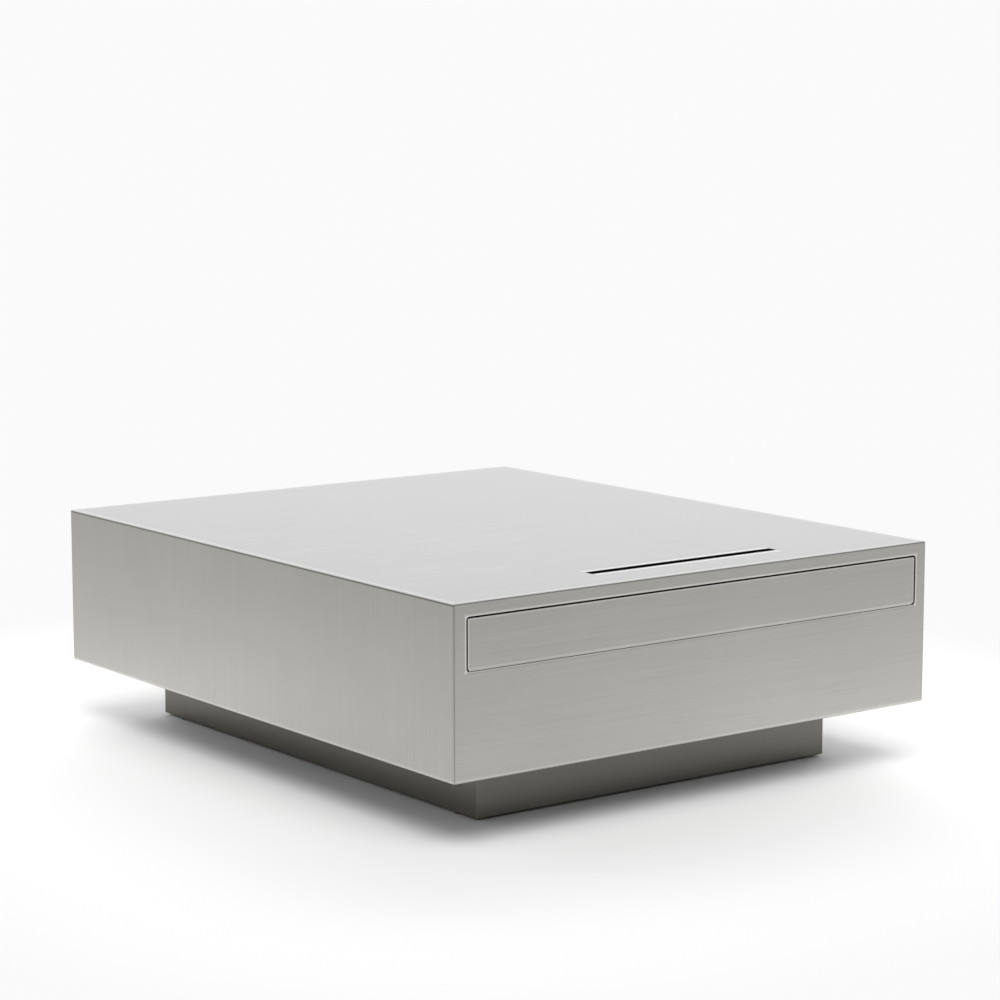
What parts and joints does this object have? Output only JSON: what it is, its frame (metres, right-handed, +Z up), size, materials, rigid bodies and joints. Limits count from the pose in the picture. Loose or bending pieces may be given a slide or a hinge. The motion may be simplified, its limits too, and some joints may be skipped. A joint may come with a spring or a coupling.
{
  "type": "coffee table",
  "caption": "Low box-shaped coffee table of folded brushed steel on a set-back plinth, with a wide push-to-open drawer under a slot in its top.",
  "frame": {"origin": "middle of the footprint, at floor level", "axes": "+Z up, -Y the drawer side, +X to the right as seen from the drawer side"},
  "size_m": [1, 1.2, 0.38],
  "materials": {
    "brushed_steel": "fine brushed stainless steel",
    "plinth_steel": "brushed stainless steel, darker tone",
    "inner_steel": "plain galvanised sheet",
    "slide_steel": "zinc-plated",
    "cage_steel": "plain pressed strip",
    "screw_steel": "zinc-plated",
    "drawer_felt": "felt",
    "black_plastic": "moulded",
    "black_rubber": "moulded"
  },
  "bodies": {
    "table": {"back_panel": "brushed_steel", "bottom_panel": "inner_steel", "cabinet_member_left": "slide_steel", "cabinet_member_right": "slide_steel", "casing_wrap": "brushed_steel", "compartment_floor": "inner_steel", "compartment_wall": "inner_steel", "drawer_stop_left": "black_rubber", "drawer_stop_right": "black_rubber", "front_panel": "brushed_steel", "glide_back_left": "black_plastic", "glide_back_right": "black_plastic", "glide_front_left": "black_plastic", "glide_front_right": "black_plastic", "latch_housing_left": "black_plastic", "latch_housing_right": "black_plastic", "latch_spring_left": "slide_steel", "latch_spring_right": "slide_steel", "plinth_back": "plinth_steel", "plinth_bolt_back_left": "screw_steel", "plinth_bolt_back_right": "screw_steel", "plinth_bolt_front_left": "screw_steel", "plinth_bolt_front_right": "screw_steel", "plinth_corner_back_left": "plinth_steel", "plinth_corner_back_right": "plinth_steel", "plinth_corner_front_left": "plinth_steel", "plinth_corner_front_right": "plinth_steel", "plinth_front": "plinth_steel", "plinth_left": "plinth_steel", "plinth_right": "plinth_steel", "rib_back_left": "inner_steel", "rib_back_right": "inner_steel", "rib_front_left": "inner_steel", "rib_front_right": "inner_steel", "runner_bracket_left": "inner_steel", "runner_bracket_right": "inner_steel", "top_rail_front": "inner_steel", "top_rail_middle": "inner_steel", "top_rail_rear": "inner_steel"},
    "drawer": {"drawer_front": "brushed_steel", "drawer_tray": "inner_steel", "drawer_inner_front": "inner_steel", "drawer_back": "inner_steel", "drawer_mat": "drawer_felt", "drawer_front_screw_lower_left": "screw_steel", "drawer_front_screw_lower_right": "screw_steel", "drawer_front_screw_upper_left": "screw_steel", "drawer_front_screw_upper_right": "screw_steel", "strike_plate_left": "screw_steel", "strike_plate_right": "screw_steel", "drawer_member_left": "slide_steel", "drawer_member_right": "slide_steel"},
    "outer_ball_cage_left": {"outer_ball_cage_left": "cage_steel"},
    "middle_member_left": {"middle_member_left": "slide_steel"},
    "inner_ball_cage_left": {"inner_ball_cage_left": "cage_steel"},
    "latch_plunger_left": {"latch_plunger_left": "black_plastic"},
    "outer_ball_cage_right": {"outer_ball_cage_right": "cage_steel"},
    "middle_member_right": {"middle_member_right": "slide_steel"},
    "inner_ball_cage_right": {"inner_ball_cage_right": "cage_steel"},
    "latch_plunger_right": {"latch_plunger_right": "black_plastic"}
  },
  "joints": [
    {"name": "drawer_slide", "type": "slide", "parent": "table", "child": "drawer", "axis": [0, -1, 0], "range_m": [-0.0025, 0.43]},
    {"name": "outer_ball_cage_left_slide", "type": "slide", "parent": "table", "child": "outer_ball_cage_left", "axis": [0, -1, 0], "range_m": [-0.0025, 0.1085]},
    {"name": "middle_member_left_slide", "type": "slide", "parent": "table", "child": "middle_member_left", "axis": [0, -1, 0], "range_m": [-0.0025, 0.216]},
    {"name": "inner_ball_cage_left_slide", "type": "slide", "parent": "table", "child": "inner_ball_cage_left", "axis": [0, -1, 0], "range_m": [-0.0025, 0.3235]},
    {"name": "latch_plunger_left_press", "type": "slide", "parent": "table", "child": "latch_plunger_left", "axis": [0, 1, 0], "range_m": [0, 0.003], "stiffness_N_per_m": 300, "springref_m": -0.01},
    {"name": "outer_ball_cage_right_slide", "type": "slide", "parent": "table", "child": "outer_ball_cage_right", "axis": [0, -1, 0], "range_m": [-0.0025, 0.1085]},
    {"name": "middle_member_right_slide", "type": "slide", "parent": "table", "child": "middle_member_right", "axis": [0, -1, 0], "range_m": [-0.0025, 0.216]},
    {"name": "inner_ball_cage_right_slide", "type": "slide", "parent": "table", "child": "inner_ball_cage_right", "axis": [0, -1, 0], "range_m": [-0.0025, 0.3235]},
    {"name": "latch_plunger_right_press", "type": "slide", "parent": "table", "child": "latch_plunger_right", "axis": [0, 1, 0], "range_m": [0, 0.003], "stiffness_N_per_m": 300, "springref_m": -0.01}
  ],
  "couplings": [
    {"joint": "outer_ball_cage_left_slide", "follows": "drawer_slide", "ratio": 0.25},
    {"joint": "middle_member_left_slide", "follows": "drawer_slide", "ratio": 0.5},
    {"joint": "inner_ball_cage_left_slide", "follows": "drawer_slide", "ratio": 0.75},
    {"joint": "outer_ball_cage_right_slide", "follows": "drawer_slide", "ratio": 0.25},
    {"joint": "middle_member_right_slide", "follows": "drawer_slide", "ratio": 0.5},
    {"joint": "inner_ball_cage_right_slide", "follows": "drawer_slide", "ratio": 0.75}
  ]
}
